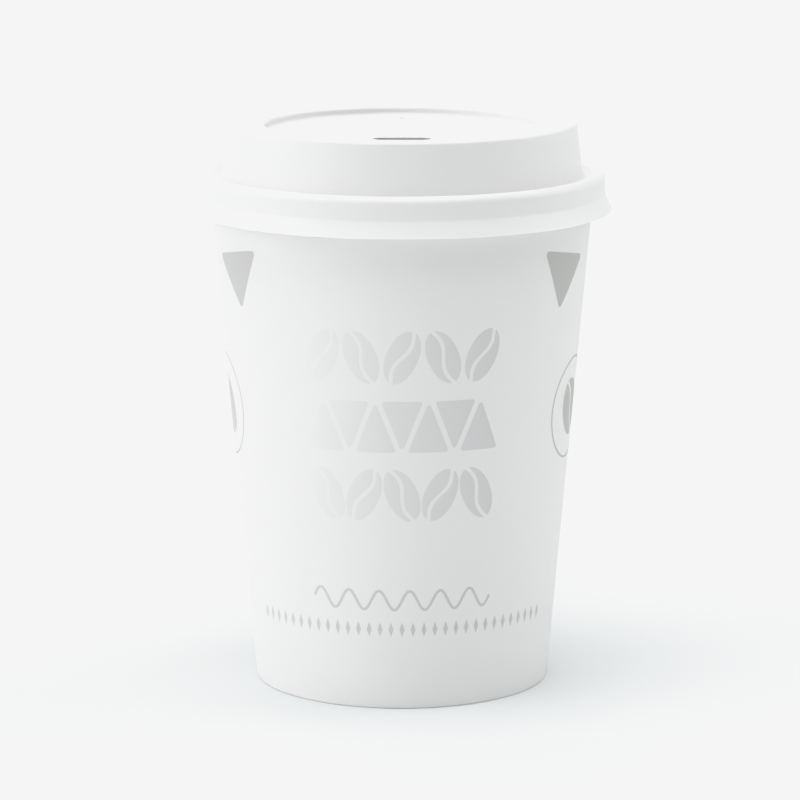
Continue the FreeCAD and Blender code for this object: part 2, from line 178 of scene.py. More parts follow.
def lathe(
    profile: Profile, angles: np.ndarray, closed: bool, swell: Swell | None = None
) -> Surface:
    """Turn a profile about the upright axis.

    Args:
        profile: The half section.
        angles: Angles of the copies in radians, going all round.
        closed: Whether the profile's last point joins its first.
        swell: Gives the extra distance from the axis for each angle, reach and height.

    Returns:
        The points in millimetres and the faces.
    """
    section = np.array(profile.points)
    turn, reach = np.meshgrid(angles, section[:, 0], indexing="ij")
    height = np.broadcast_to(section[:, 1], reach.shape)
    if swell is not None:
        reach = reach + swell(turn, reach, height)
    points = np.stack([reach * np.cos(turn), reach * np.sin(turn), height], axis=-1)
    return points.reshape(-1, 3), quad_grid(len(angles), len(section), True, closed)


def face_outwards(piece: Piece) -> None:
    """Turn a closed mesh's faces outwards and weld points that coincide.

    Args:
        piece: The mesh object.
    """
    mesh = bmesh.new()
    mesh.from_mesh(piece.data)
    bmesh.ops.remove_doubles(mesh, verts=mesh.verts, dist=WELD * MM)
    bmesh.ops.recalc_face_normals(mesh, faces=mesh.faces)
    mesh.to_mesh(piece.data)
    mesh.free()


def shade_smooth(piece: Piece) -> None:
    """Shade a mesh smoothly, with sharp edges where faces meet at more than the crease angle."""
    piece.data.shade_smooth()
    piece.data.set_sharp_from_angle(angle=math.radians(CREASE))


def thicken(piece: Piece, thickness: float, even: bool) -> None:
    """Give a thin sheet its thickness, inwards from the face that is drawn, and shade it.

    Args:
        piece: The mesh object.
        thickness: Its thickness in millimetres.
        even: Whether the thickness is kept round sharp bends.
    """
    solidify = piece.modifiers.new("thickness", "SOLIDIFY")
    solidify.thickness = thickness * MM
    solidify.offset = -1
    solidify.use_even_offset = even
    graph = bpy.context.evaluated_depsgraph_get()
    mesh = bpy.data.meshes.new_from_object(piece.evaluated_get(graph))
    piece.modifiers.clear()
    piece.data = mesh
    shade_smooth(piece)


def merge(parts: Iterable[Surface]) -> Surface:
    """Put the points and faces of several parts into one list of each.

    Args:
        parts: The points and faces of each part.

    Returns:
        All the points, and the faces numbered to match.
    """
    points, faces, start = [], [], 0
    for part_points, part_faces in parts:
        points.append(part_points)
        faces += [tuple(index + start for index in face) for face in part_faces]
        start += len(part_points)
    return np.concatenate(points), faces


def covered(loops: Sequence[np.ndarray], points: np.ndarray, margin: float = 0.0) -> np.ndarray:
    """Tell which points lie in the region between closed outlines.

    Args:
        loops: The outlines, each as points in a row.
        points: The points to test.
        margin: Least distance from the nearest outline.

    Returns:
        True for each point that is in the region by the margin.
    """
    start = np.concatenate(loops)
    run = np.concatenate([np.roll(loop, -1, axis=0) for loop in loops]) - start
    x, y = points[:, :1], points[:, 1:]
    crosses = (start[:, 1] > y) != (start[:, 1] + run[:, 1] > y)
    rise = np.where(crosses, run[:, 1], 1.0)
    meets = start[:, 0] + (y - start[:, 1]) / rise * run[:, 0]
    odd = np.count_nonzero(crosses & (meets > x), axis=1) % 2 == 1
    offset = points[:, None, :] - start
    share = np.clip((offset * run).sum(-1) / (run * run).sum(-1), 0, 1)
    near = np.linalg.norm(offset - share[..., None] * run, axis=-1).min(axis=1)
    return odd & (near >= margin)


def fill_plan(loops: Sequence[np.ndarray], grid: float) -> Surface:
    """Fill the region between closed outlines with triangles, with a grid of points inside it.

    Args:
        loops: The outlines, each as points in a row.
        grid: Spacing of the inner points.

    Returns:
        The points in plan and the faces.
    """
    outline = np.concatenate(loops)
    low, high = outline.min(axis=0) + grid / 2, outline.max(axis=0)
    across, along = np.meshgrid(np.arange(low[0], high[0], grid), np.arange(low[1], high[1], grid))
    lattice = np.stack([across.ravel(), along.ravel()], axis=-1)
    if len(lattice):
        lattice = lattice[covered(loops, lattice, grid / 3)]
    edges, start = [], 0
    for loop in loops:
        count = len(loop)
        edges += [(start + index, start + (index + 1) % count) for index in range(count)]
        start += count
    seeds = [Vector(point) for point in np.concatenate([outline, lattice]).tolist()]
    found, _, faces, *_ = delaunay_2d_cdt(seeds, edges, [], 0, 1e-5)
    plan = np.array([tuple(point) for point in found])
    middles = np.array([plan[list(face)].mean(axis=0) for face in faces])
    kept = [tuple(face) for face, keep in zip(faces, covered(loops, middles)) if keep]
    return plan, kept


def full_turn(count: int) -> np.ndarray:
    """Return a number of evenly spaced angles all round, in radians."""
    return np.linspace(0, 2 * math.pi, count, endpoint=False)


def circle(turn: np.ndarray, radius: float, middle: Point = (0.0, 0.0)) -> np.ndarray:
    """Return the points of a circle at angles in radians, one row each."""
    return radius * np.stack([np.cos(turn), np.sin(turn)], axis=-1) + middle


def at_height(plan: np.ndarray, height: float) -> np.ndarray:
    """Lift the points of a plan to one height."""
    return np.column_stack([plan, np.full(len(plan), height)])


def divided(loop: np.ndarray, step: float = EDGE_STEP) -> np.ndarray:
    """Divide the sides of a closed outline.

    Args:
        loop: The outline as points in a row.
        step: Longest side that is left.

    Returns:
        The divided outline.
    """
    pieces = []
    for start, end in zip(loop, np.roll(loop, -1, axis=0)):
        count = max(1, math.ceil(np.linalg.norm(end - start) / step))
        pieces.append(start + (end - start) * (np.arange(count) / count)[:, None])
    return np.concatenate(pieces)


def rounded(corners: Sequence[Point], radius: float) -> np.ndarray:
    """Draw a polygon with round corners and evenly divided sides.

    Args:
        corners: The sharp corners, anticlockwise.
        radius: Radius of the round corners.

    Returns:
        The outline as points in a row.
    """
    sharp = np.array(corners, dtype=float)
    loop: list[np.ndarray] = []
    for index, corner in enumerate(sharp):
        back = sharp[index - 1] - corner
        ahead = sharp[(index + 1) % len(sharp)] - corner
        back, ahead = back / np.linalg.norm(back), ahead / np.linalg.norm(ahead)
        half = math.acos(float(np.clip(back @ ahead, -1, 1))) / 2
        middle = corner + (back + ahead) / np.linalg.norm(back + ahead) * radius / math.sin(half)
        outward = math.atan2(*-(back + ahead)[::-1])
        sweep = math.pi / 2 - half
        loop.extend(circle(outward + np.linspace(-sweep, sweep, 7), radius, middle))
    return divided(np.array(loop))


def bean(height: float, width: float, tilt: float) -> list[np.ndarray]:
    """Draw a coffee bean as two halves with a curved gap between them.

    Args:
        height: Length of the bean.
        width: Its width.
        tilt: Turn from upright in degrees.

    Returns:
        The outlines of the two halves.
    """
    tip = math.acos(BEAN_GAP / width)
    side = np.linspace(math.pi - tip, math.pi + tip, 26)
    oval = np.stack([width / 2 * np.cos(side), height / 2 * np.sin(side)], axis=-1)
    share = np.linspace(-1, 1, 14)[1:-1]
    swing = BEAN_SWING * np.sin(math.pi * share) - BEAN_GAP / 2
    half = np.concatenate([oval, np.stack([swing, share * oval[0, 1]], axis=-1)])
    turn = math.radians(tilt)
    spin = np.array([[math.cos(turn), math.sin(turn)], [-math.sin(turn), math.cos(turn)]])
    return [divided(half @ spin), divided(-half @ spin)]


@dataclass(frozen=True)
class Grain:
    """Scales of a surface's grain, in marks to the metre."""

    fine: float
    coarse: float
    cloud: float
    stretch: tuple[float, float, float]


GRAIN_AMOUNTS = (
    "Mottle", "Mean Roughness", "Spread", "Fine Scale", "Coarse Scale", "Cloud Scale"
)
PAPER_GRAIN = Grain(fine=2600.0, coarse=620.0, cloud=55.0, stretch=(1.0, 1.0, 0.45))
SHEET_GRAIN = Grain(fine=3200.0, coarse=240.0, cloud=38.0, stretch=(1.0, 1.0, 1.0))


class Dress:
    """A material under construction: its shader, its nodes and the links between them."""

    def __init__(self, name: str, specular: float) -> None:
        """Start a material with a plain shader.

        Args:
            name: Name of the material.
            specular: Strength of its clear gloss, all over.
        """
        self.material = bpy.data.materials.new(name)
        self.material.use_nodes = True
        self.nodes = self.material.node_tree.nodes
        self.links = self.material.node_tree.links
        self.shader = self.nodes["Principled BSDF"]
        self.shader.inputs["Specular IOR Level"].default_value = specular

    def painted_light_grade(self, left: Colour, right: Colour, reach: float) -> Socket:
        """Blend two tints across the object from left to right, as painted light: paler on the left,
        where the light falls brighter.

        Args:
            left: Tint at the left end.
            right: Tint at the right end.
            reach: Distance of both ends from the middle in millimetres.

        Returns:
            The blended tint.
        """
        # Painted light: the tint is paler towards the brightly lit left and darker towards the
        # right.
        place = self.nodes.new("ShaderNodeTexCoord")
        axes = self.nodes.new("ShaderNodeSeparateXYZ")
        share = self.nodes.new("ShaderNodeMapRange")
        share.inputs["From Min"].default_value = -reach * MM
        share.inputs["From Max"].default_value = reach * MM
        blend = self.nodes.new("ShaderNodeMix")
        blend.data_type = "RGBA"
        for slot, tint in zip(MIX_COLOURS, (left, right)):
            blend.inputs[slot].default_value = (*tint, 1.0)
        self.links.new(place.outputs["Object"], axes.inputs["Vector"])
        self.links.new(axes.outputs["X"], share.inputs["Value"])
        self.links.new(share.outputs["Result"], blend.inputs[0])
        return blend.outputs[MIX_COLOUR_RESULT]

    def grain(
        self,
        tint: Colour | Socket,
        mottle: float,
        roughness: float,
        spread: float,
        grain: Grain,
        relief: float,
    ) -> None:
        """Colour and roughen the surface through the shared grain group.

        Args:
            tint: The surface's own colour, or the socket that gives it.
            mottle: Share by which its darkest clouds are darker.
            roughness: Its mean roughness.
            spread: How far the roughness varies.
            grain: Scales of the grain.
            relief: Height of the grain in millimetres.
        """
        group = self.nodes.new("ShaderNodeGroup")
        group.node_tree = surface_grain_group()
        amounts = (mottle, roughness, spread, grain.fine, grain.coarse, grain.cloud)
        for socket, amount in zip(GRAIN_AMOUNTS, amounts):
            group.inputs[socket].default_value = amount
        group.inputs["Stretch"].default_value = grain.stretch
        if isinstance(tint, tuple):
            group.inputs["Tint"].default_value = (*tint, 1.0)
        else:
            self.links.new(tint, group.inputs["Tint"])
        bump = self.nodes.new("ShaderNodeBump")
        bump.inputs["Distance"].default_value = relief * MM
        self.links.new(group.outputs["Colour"], self.shader.inputs["Base Color"])
        self.links.new(group.outputs["Roughness"], self.shader.inputs["Roughness"])
        self.links.new(group.outputs["Height"], bump.inputs["Height"])
        self.links.new(bump.outputs["Normal"], self.shader.inputs["Normal"])


def surface_grain_group() -> bpy.types.NodeTree:
    """Return the shared group of grain nodes, built on its first use.

    Returns:
        A group with the outputs Colour, Roughness and Height, which all vary over the surface.
    """
    name = "surface_grain"
    if name in bpy.data.node_groups:
        return bpy.data.node_groups[name]
    tree = bpy.data.node_groups.new(name, "ShaderNodeTree")
    given_kinds = {"Tint": "Color", **dict.fromkeys(GRAIN_AMOUNTS, "Float"), "Stretch": "Vector"}
    result_kinds = {"Colour": "Color", "Roughness": "Float", "Height": "Float"}
    for way, kinds in (("INPUT", given_kinds), ("OUTPUT", result_kinds)):
        for socket, kind in kinds.items():
            tree.interface.new_socket(socket, in_out=way, socket_type=f"NodeSocket{kind}")
    nodes, links = tree.nodes, tree.links
    given = nodes.new("NodeGroupInput")
    result = nodes.new("NodeGroupOutput")
    place = nodes.new("ShaderNodeTexCoord")
    stretch = nodes.new("ShaderNodeVectorMath")
    stretch.operation = "MULTIPLY"
    links.new(place.outputs["Object"], stretch.inputs[0])
    links.new(given.outputs["Stretch"], stretch.inputs[1])

    def noise(scale: str, detail: float, roughness: float) -> Socket:
        """Add a noise pattern.

        Args:
            scale: Name of the input that gives its scale.
            detail: Number of finer layers.
            roughness: Strength of the finer layers.

        Returns:
            The pattern.
        """
        node = nodes.new("ShaderNodeTexNoise")
        node.inputs["Detail"].default_value = detail
        node.inputs["Roughness"].default_value = roughness
        links.new(stretch.outputs["Vector"], node.inputs["Vector"])
        links.new(given.outputs[scale], node.inputs["Scale"])
        return node.outputs["Fac"]

    def blend(share: float, first: Socket, second: Socket) -> Socket:
        """Blend two patterns.

        Args:
            share: Share of the second pattern.
            first: The first pattern.
            second: The second pattern.

        Returns:
            The blend.
        """
        node = nodes.new("ShaderNodeMix")
        node.inputs[0].default_value = share
        for slot, pattern in zip(MIX_NUMBERS, (first, second)):
            links.new(pattern, node.inputs[slot])
        return node.outputs[0]

    def work_out(kind: str, *terms: float | Socket) -> Socket:
        """Add a sum, difference or product.

        Args:
            kind: Blender's name for the operation.
            terms: Its terms, each a number or a socket.

        Returns:
            The result.
        """
        node = nodes.new("ShaderNodeMath")
        node.operation = kind
        for slot, term in zip(node.inputs, terms):
            if isinstance(term, float):
                slot.default_value = term
            else:
                links.new(term, slot)
        return node.outputs[0]

    fine = noise("Fine Scale", detail=2.0, roughness=0.6)
    coarse = noise("Coarse Scale", detail=3.0, roughness=0.55)
    cloud = noise("Cloud Scale", detail=2.0, roughness=0.5)
    height = blend(0.45, fine, coarse)
    veil = blend(0.6, coarse, cloud)
    light = work_out("SUBTRACT", 1.0, work_out("MULTIPLY", veil, given.outputs["Mottle"]))
    uneven = work_out("MULTIPLY", work_out("SUBTRACT", veil, 0.5), given.outputs["Spread"])
    roughness = work_out("ADD", uneven, given.outputs["Mean Roughness"])
    colour = nodes.new("ShaderNodeVectorMath")
    colour.operation = "SCALE"
    links.new(given.outputs["Tint"], colour.inputs["Vector"])
    links.new(light, colour.inputs["Scale"])
    links.new(colour.outputs["Vector"], result.inputs["Colour"])
    links.new(roughness, result.inputs["Roughness"])
    links.new(height, result.inputs["Height"])
    return tree


@dataclass(frozen=True)
class PaperFinish:
    """Coated white paperboard with a faint fibre grain."""

    name: str
    tint: Colour
    roughness: float
    mottle: float
    relief: float

    def material(self) -> bpy.types.Material:
        """Build the paper's material.

        Returns:
            The material.
        """
        dress = Dress(self.name, specular=0.42)
        dress.grain(self.tint, self.mottle, self.roughness, 0.1, PAPER_GRAIN, self.relief)
        return dress.material


@dataclass(frozen=True)
class InkFinish:
    """A flat printed ink with painted light: paler at the cup's left, where the light falls
    brighter, and darker at its right.
    """

    name: str
    left: Colour
    right: Colour
    reach: float
    roughness: float
    mottle: float = 0.03
    relief: float = 0.012

    def material(self) -> bpy.types.Material:
        """Build the ink's material, with painted light graded across it and the paper's grain
        showing through.

        Returns:
            The material.
        """
        dress = Dress(self.name, specular=0.5)
        # Painted light: the ink runs from pale on the left to darker on the right, for the brighter
        # light from the left.
        tint = dress.painted_light_grade(self.left, self.right, self.reach)
        dress.grain(tint, self.mottle, self.roughness, 0.08, PAPER_GRAIN, self.relief)
        return dress.material


@dataclass(frozen=True)
class PlasticFinish:
    """Satin white plastic, a little translucent, with the fine texture of a formed sheet."""

    name: str
    tint: Colour
    roughness: float
    mottle: float
    relief: float
    scatter: float = 0.5

    def material(self) -> bpy.types.Material:
        """Build the plastic's material.

        Returns:
            The material.
        """
        dress = Dress(self.name, specular=0.5)
        sockets = dress.shader.inputs
        sockets["Subsurface Weight"].default_value = 1.0
        sockets["Subsurface Radius"].default_value = (1.0, 1.0, 1.0)
        sockets["Subsurface Scale"].default_value = self.scatter * MM
        dress.grain(self.tint, self.mottle, self.roughness, 0.08, SHEET_GRAIN, self.relief)
        return dress.material


@dataclass(frozen=True)
class CupSizes:
    """Sizes that the cup's paper pieces share."""

    height: float
    rim_radius: float
    base_radius: float = 33.5
    paper: float = 0.4
    roll_radius: float = 1.05
    fold_height: float = 6.5
    fold_corner: float = 0.45
    disc_thickness: float = 0.35
    glue_gap: float = 0.05

    @classmethod
    def from_frame(cls) -> "CupSizes":
        """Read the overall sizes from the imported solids."""
        _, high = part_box("sidewall")
        return cls(height=high.z / MM, rim_radius=high.x / MM)

    @property
    def roll_middle(self) -> Point:
        """Centre of the rolled rim in the half section."""
        return self.rim_radius - self.roll_radius, self.height - self.roll_radius

    @property
    def lean(self) -> float:
        """Work out the wall's lean from the base and the rolled rim.

        Returns:
            The lean from upright in radians.
        """
        reach = self.roll_middle[0] - self.base_radius
        rise = self.roll_middle[1]
        inner = self.roll_radius - self.paper
        return math.atan2(reach, rise) - math.asin(inner / math.hypot(reach, rise))

    def wall(self, height: float, inset: float = 0.0) -> Point:
        """Return the point at a height, this far inside the wall's outer surface."""
        reach = self.base_radius + height * math.tan(self.lean) - inset / math.cos(self.lean)
        return reach, height


@dataclass
class Sidewall:
    """The printed paper blank: tapered wall, rolled rim, lapped seam and folded foot."""

    sizes: CupSizes
    finish: PaperFinish
    cut_finish: PaperFinish
    segments: int = 288
    seam_width: float = 8.0
    seam_fade: float = 9.0
    seam_edge: float = 0.06
    roll_open: float = 60.0
    step_facing: float = 0.7
    top_facing: float = 0.9
    end_slack: float = 0.01

    def profile(self) -> Profile:
        """Draw the closed section of the blank.

        Returns:
            The section.
        """
        cup = self.sizes
        lean = math.degrees(cup.lean)
        strip = cup.paper + cup.disc_thickness + 2 * cup.glue_gap
        foot_out = cup.wall(cup.fold_corner, cup.fold_corner)
        foot_in = cup.wall(cup.fold_corner, strip + cup.paper - cup.fold_corner)
        roll_end = self.roll_open - 180
        under_roll = cup.roll_middle[1] - cup.roll_radius
        section = Profile()
        section.arc(foot_out, cup.fold_corner, -90, -lean, 6)
        section.run(*cup.wall(under_roll))
        section.arc(cup.roll_middle, cup.roll_radius - cup.paper, 180 - lean, roll_end, 30)
        section.arc(cup.roll_middle, cup.roll_radius, roll_end, 180 - lean, 36)
        section.run(*cup.wall(cup.fold_height * 2, cup.paper))
        section.run(*cup.wall(cup.paper, cup.paper))
        section.run(*cup.wall(cup.paper, strip))
        section.run(*cup.wall(cup.fold_height, strip))
        section.run(*cup.wall(cup.fold_height + cup.paper * math.sin(cup.lean), strip + cup.paper))
        section.arc(foot_in, cup.fold_corner, 180 - lean, 270, 6)
        return section

    def angles(self) -> np.ndarray:
        """Space the lathe's angles, with extra ones that keep the seam's edge crisp.

        Returns:
            The angles in radians.
        """
        even = full_turn(self.segments)
        mean = (self.sizes.base_radius + self.sizes.rim_radius) / 2
        edge = math.pi / 2 - self.seam_width / 2 / mean
        crisp = edge + np.array([-1.0, 0.0, 1.0, 2.0]) * self.seam_edge / mean
        away = np.abs(even - edge) > 3 * self.seam_edge / mean
        return np.sort(np.concatenate([even[away], crisp]))

    def seam_swell(self, turn: np.ndarray, reach: np.ndarray, height: np.ndarray) -> np.ndarray:
        """Return how far the lapped layer stands out of the wall.

        Args:
            turn: Angles about the axis in radians.
            reach: Distances from the axis.
            height: Heights.

        Returns:
            The extra distance from the axis, in the shape of the inputs.
        """
        cup = self.sizes
        along = (turn - math.pi / 2) * (cup.base_radius + cup.rim_radius) / 2
        step_up = np.clip((along + self.seam_width / 2) / self.seam_edge, 0, 1)
        fade = np.clip((along - self.seam_width / 2) / self.seam_fade, 0, 1)
        lap = step_up * (1 - fade * fade * (3 - 2 * fade))
        outer = cup.base_radius + height * math.tan(cup.lean)
        on_face = np.clip(1 - np.abs(reach - outer) / (cup.paper / 4), 0, 1)
        top = cup.height - 2 * cup.roll_radius
        below_roll = np.clip((top - height) / cup.roll_radius, 0, 1)
        above_foot = np.clip(height / cup.fold_corner, 0, 1)
        return cup.paper * lap * on_face * below_roll * above_foot

    def is_cut(self, middle: Vector, normal: Vector) -> bool:
        """Tell whether a face lies on a cut edge of the board.

        Args:
            middle: Middle of the face in millimetres.
            normal: Its outward direction.

        Returns:
            True on the seam's step, the end of the rolled rim and the top of the folded strip.
        """
        cup = self.sizes
        tangent = Vector((-middle.y, middle.x, 0)).normalized()
        on_step = abs(normal.dot(tangent)) > self.step_facing
        roll = Vector((middle.xy.length - cup.roll_middle[0], middle.z - cup.roll_middle[1]))
        end_angle = math.radians(self.roll_open - 180)
        off_end = (math.atan2(roll.y, roll.x) - end_angle) * roll.length
        depth = (cup.roll_radius - roll.length) / cup.paper
        on_roll_end = abs(off_end) < self.end_slack and 0.1 < depth < 0.9
        on_strip_top = normal.z > self.top_facing and abs(middle.z - cup.fold_height) < cup.paper
        return on_step or on_roll_end or on_strip_top

    def build(self) -> list[Piece]:
        """Build the blank, dress it and let it stand for its solid.

        Returns:
            The blank alone.
        """
        points, faces = lathe(self.profile(), self.angles(), True, self.seam_swell)
        piece = new_mesh("sidewall_paper", points, faces)
        face_outwards(piece)
        shade_smooth(piece)
        piece.data.materials.append(self.finish.material())
        piece.data.materials.append(self.cut_finish.material())
        for polygon in piece.data.polygons:
            if self.is_cut(polygon.center / MM, polygon.normal):
                polygon.material_index = 1
        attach(piece, Body.CUP.value)
        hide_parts("sidewall")
        return [piece]


@dataclass
class BottomDisc:
    """The recessed bottom, with its edge turned down into the sidewall's fold."""

    sizes: CupSizes
    finish: PaperFinish
    segments: int = 192
    corner: float = 0.6

    def build(self) -> list[Piece]:
        """Build the disc, dress it and let it stand for its solid.

        Returns:
            The disc alone.
        """
        cup = self.sizes
        low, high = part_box("bottom_disc")
        foot_z, top_z = low.z / MM, high.z / MM
        under_z = top_z - cup.disc_thickness
        lean = math.degrees(cup.lean)
        edge = cup.paper + cup.glue_gap
        turn = cup.wall(top_z - self.corner, edge + self.corner)
        section = Profile()
        section.run(0.0, top_z)
        section.run(turn[0], top_z)
        section.arc(turn, self.corner, 90, -lean, 6)
        section.run(*cup.wall(foot_z, edge))
        section.run(*cup.wall(foot_z, edge + cup.disc_thickness))
        section.arc(turn, self.corner - cup.disc_thickness, -lean, 90, 6)
        section.run(0.0, under_z)
        points, faces = lathe(section, full_turn(self.segments), False)
        piece = new_mesh("bottom_disc_paper", points, faces)
        face_outwards(piece)
        shade_smooth(piece)
        piece.data.materials.append(self.finish.material())
        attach(piece, Body.CUP.value)
        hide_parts("bottom_disc")
        return [piece]


@dataclass
class SipLid:
    """The formed plastic lid, drawn as one thin sheet and then given its thickness."""

    sizes: CupSizes
    finish: PlasticFinish
    segments: int = 256
    sheet: float = 0.4
    clearance: float = 0.2
    skirt_flare: float = 3.8
    skirt_bend: float = 1.0
    moat_depth: float = 1.6
    moat_round: float = 1.02
    top_radius: float = 39.4
    top_corner_z: float = 128.15
    top_round: float = 0.7
    land_drop: float = 0.75
    recess_radius: float = 31.0
    recess_depth: float = 1.8
    edge_round: float = 0.5
    foot_round: float = 0.8
    corner_round: float = 6.0
    platform_setback: float = 22.0
    slot_length: float = 13.0
    slot_width: float = 3.9
    slot_setback: float = 27.3
    vent_radius: float = 0.75
    vent_setback: float = 24.0
    grid: float = 2.5

    def __post_init__(self) -> None:
        """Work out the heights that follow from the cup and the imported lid."""
        low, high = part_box("sip_lid")
        self.skirt_radius = high.x / MM
        self.skirt_bottom = low.z / MM
        self.ring_radius = self.sizes.roll_radius + self.clearance + self.sheet
        self.land_z = self.top_corner_z - self.land_drop
        self.land_inner = self.recess_radius + 2 * self.edge_round

    def profile(self) -> Profile:
        """Draw the open section of the lid's outer face, from the skirt's edge to the land.

        Returns:
            The section.
        """
        ring_x, ring_z = self.sizes.roll_middle
        ring_top = ring_z + self.ring_radius
        bend_x = ring_x + self.ring_radius + self.skirt_bend
        bend_middle = (bend_x, self.skirt_bottom + self.skirt_flare)
        run, rise = bend_x - self.skirt_radius, bend_middle[1] - self.skirt_bottom
        tangent = math.atan2(rise, run) + math.asin(self.skirt_bend / math.hypot(run, rise))
        flare = math.degrees(tangent) - 90

        moat_z = ring_top - self.moat_depth + self.moat_round
        apart = self.ring_radius + self.moat_round
        moat_turn = math.degrees(math.asin((moat_z - ring_z) / apart))
        moat_x = ring_x - apart * math.cos(math.radians(moat_turn))
        moat_middle = (moat_x, moat_z)
        corner = (self.top_radius, self.top_corner_z)
        away = math.dist(moat_middle, corner)
        draft = math.degrees(
            math.atan2(moat_x - corner[0], corner[1] - moat_z) - math.asin(self.moat_round / away)
        )
        fall = math.degrees(math.atan2(self.land_drop, corner[0] - self.land_inner))
        half = math.radians((90 + fall - draft) / 2)
        middle_way = math.radians((90 + fall + draft) / 2)
        back = self.top_round / math.cos(half)
        top_middle = (
            corner[0] - back * math.cos(middle_way), corner[1] - back * math.sin(middle_way)
        )

        section = Profile()
        section.run(self.skirt_radius, self.skirt_bottom)
        section.arc(bend_middle, self.skirt_bend, 180 + flare, 180, 8)
        section.arc((ring_x, ring_z), self.ring_radius, 0, 180 - moat_turn, 20)
        section.arc(moat_middle, self.moat_round, 360 - moat_turn, 180 + draft, 12)
        section.arc(top_middle, self.top_round, draft, 90 + fall, 10)
        section.run(self.land_inner, self.land_z)
        return section

    def recess_loop(self, inset: float) -> np.ndarray:
        """Draw the recess's outline in plan.

        Args:
            inset: How far the outline lies inside the recess's edge.

        Returns:
            The outline as points in a row.
        """
        radius = self.recess_radius - inset
        corner = self.corner_round - inset
        corner_y = -self.platform_setback + self.corner_round
        corner_x = math.sqrt((self.recess_radius - self.corner_round) ** 2 - corner_y**2)
        turn = math.atan2(corner_y, corner_x)
        rim = np.linspace(turn, math.pi - turn, 160, endpoint=False)
        left = np.linspace(math.pi - turn, 1.5 * math.pi, 12, endpoint=False)
        chord = np.linspace(-corner_x, corner_x, 24, endpoint=False)
        right = np.linspace(-0.5 * math.pi, turn, 12, endpoint=False)
        sides = (
            circle(rim, radius),
            circle(left, corner, (-corner_x, corner_y)),
            np.column_stack([chord, np.full(len(chord), corner_y - corner)]),
            circle(right, corner, (corner_x, corner_y)),
        )
        return np.concatenate(sides)

    def slot_loop(self) -> np.ndarray:
        """Draw the sip slot's outline in plan.

        Returns:
            The outline as points in a row.
        """
        half = (self.slot_length - self.slot_width) / 2
        right = np.linspace(-0.5 * math.pi, 0.5 * math.pi, 17)
        ends = [
            circle(turn, self.slot_width / 2, (side * half, -self.slot_setback))
            for side, turn in ((1, right), (-1, right + math.pi))
        ]
        return np.concatenate(ends)

    def vent_loop(self) -> np.ndarray:
        """Draw the vent hole's outline in plan."""
        return circle(full_turn(24), self.vent_radius, (0.0, self.vent_setback))

    def level_patch(self, loops: Sequence[np.ndarray], height: float) -> Surface:
        """Fill the region between outlines in plan at one height.

        Args:
            loops: The outer outline and the outlines of its openings.
            height: Height of the region.

        Returns:
            The points in millimetres and the faces.
        """
        plan, faces = fill_plan(loops, self.grid)
        return at_height(plan, height), faces

    def recess_wall(self) -> Surface:
        """Build the rounded step from the land down to the recess floor.

        Returns:
            The points in millimetres and the faces.
        """
        floor_z = self.land_z - self.recess_depth
        step = Profile()
        step.arc((-self.edge_round, self.land_z - self.edge_round), self.edge_round, 90, 0, 6)
        foot = (self.foot_round, floor_z + self.foot_round)
        step.arc(foot, self.foot_round, 180, 270, 8)
        loops = [at_height(self.recess_loop(inset), height) for inset, height in step.points]
        return np.concatenate(loops), quad_grid(len(loops), len(loops[0]), False, True)

    def build(self) -> list[Piece]:
        """Build the lid, dress it and let it stand for its solid.

        Returns:
            The lid alone.
        """
        angles = full_turn(self.segments)
        rim = circle(angles, self.land_inner)
        land_hole = self.recess_loop(-self.edge_round)
        floor_edge = self.recess_loop(self.foot_round)
        floor_z = self.land_z - self.recess_depth
        parts = [
            lathe(self.profile(), angles, False),
            self.level_patch([rim, land_hole, self.slot_loop()], self.land_z),
            self.recess_wall(),
            self.level_patch([floor_edge, self.vent_loop()], floor_z),
        ]
        piece = new_mesh("sip_lid_shell", *merge(parts))
        face_outwards(piece)
        top = max(piece.data.polygons, key=lambda polygon: polygon.center.z)
        if top.normal.z < 0:
            piece.data.flip_normals()
        thicken(piece, self.sheet, even=True)
        piece.data.materials.append(self.finish.material())
        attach(piece, Body.LID.value)
        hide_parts("sip_lid")
        return [piece]


@dataclass(frozen=True)
class Motif:
    """Loops of flat artwork round a centre on the cup's wall."""

    loops: list[np.ndarray]
    azimuth: float
    height: float


